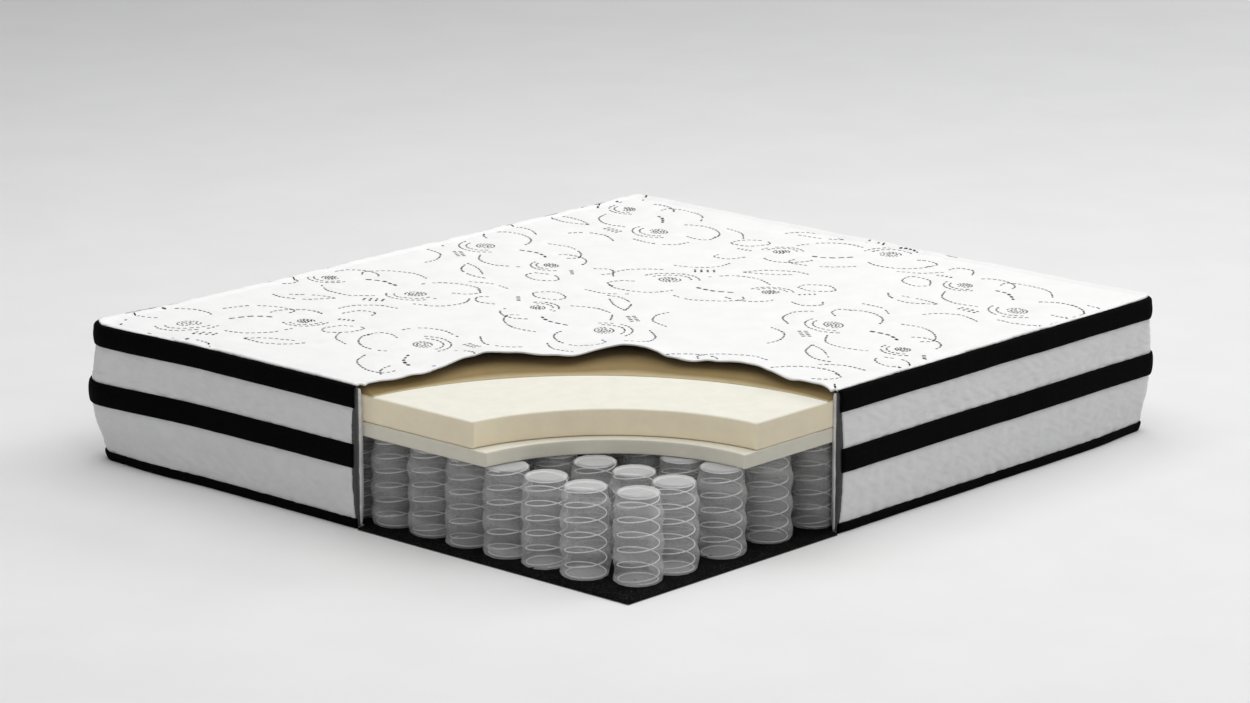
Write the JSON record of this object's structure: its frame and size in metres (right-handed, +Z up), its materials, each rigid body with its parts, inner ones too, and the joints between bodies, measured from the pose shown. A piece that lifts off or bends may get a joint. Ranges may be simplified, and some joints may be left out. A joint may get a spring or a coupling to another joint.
{
  "type": "memory foam mattress",
  "caption": "Hybrid pocket-spring and memory-foam mattress with a quilted knit top and black border tapes; one corner is cut away in steps to show every layer.",
  "frame": {"origin": "centre of the underside, where the mattress lies on its bed", "axes": "+X across the bed, +Y along the bed away from the cut-away end, +Z up; the cut-away corner is at +X, -Y"},
  "size_m": [1.8, 2, 0.356],
  "materials": {
    "base_cloth": "matte woven",
    "felt": "matte speckled felt",
    "border_fabric": "matte quilted",
    "border_fibre": "matte fibrous",
    "edge_foam": "matte foam",
    "black_tape": "ribbed",
    "transition_foam": "matte foam",
    "memory_foam": "matte foam",
    "comfort_foam": "matte foam",
    "quilt_backing": "matte nonwoven",
    "quilt_wadding": "matte fibre",
    "top_knit": "matte knit",
    "pocket_fabric": "translucent nonwoven",
    "spring_wire": "bright drawn wire",
    "motif_thread": "matte knitted thread",
    "seam_thread": "matte thread"
  },
  "bodies": {
    "base": {"bottom_cover": "base_cloth", "felt_pad": "felt", "border_ticking_lower": "border_fabric", "border_ticking_upper": "border_fabric", "border_padding": "border_fibre", "rail_foot": "edge_foam", "rail_left": "edge_foam", "rail_head": "edge_foam", "rail_right": "edge_foam", "bottom_tape": "black_tape", "middle_tape": "black_tape", "pocket_row_01": "pocket_fabric", "pocket_row_02": "pocket_fabric", "pocket_row_03": "pocket_fabric", "pocket_row_04": "pocket_fabric", "pocket_row_05": "pocket_fabric", "pocket_row_06": "pocket_fabric", "pocket_row_07": "pocket_fabric", "pocket_row_08": "pocket_fabric", "pocket_row_09": "pocket_fabric", "pocket_row_10": "pocket_fabric", "pocket_row_11": "pocket_fabric", "pocket_row_12": "pocket_fabric", "coil_row_01": "spring_wire", "coil_row_02": "spring_wire", "coil_row_03": "spring_wire", "coil_row_04": "spring_wire", "coil_row_05": "spring_wire", "coil_row_06": "spring_wire"},
    "sleeping_top": {"top_tape": "black_tape", "transition_foam": "transition_foam", "memory_foam": "memory_foam", "comfort_foam": "comfort_foam", "quilt_backing": "quilt_backing", "quilt_wadding": "quilt_wadding", "top_ticking": "top_knit"}
  },
  "joints": [
    {"name": "spring_compression", "type": "slide", "parent": "base", "child": "sleeping_top", "axis": [0, 0, 1], "range_m": [-0.06, 0], "stiffness_N_per_m": 250000, "springref_m": 0.004, "deforming": ["border_ticking_lower", "border_ticking_upper", "border_padding", "middle_tape", "pocket_row_01", "pocket_row_02", "pocket_row_03", "pocket_row_04", "pocket_row_05", "pocket_row_06", "pocket_row_07", "pocket_row_08", "pocket_row_09", "pocket_row_10", "pocket_row_11", "pocket_row_12", "coil_row_01", "coil_row_02", "coil_row_03", "coil_row_04", "coil_row_05", "coil_row_06"]}
  ]
}
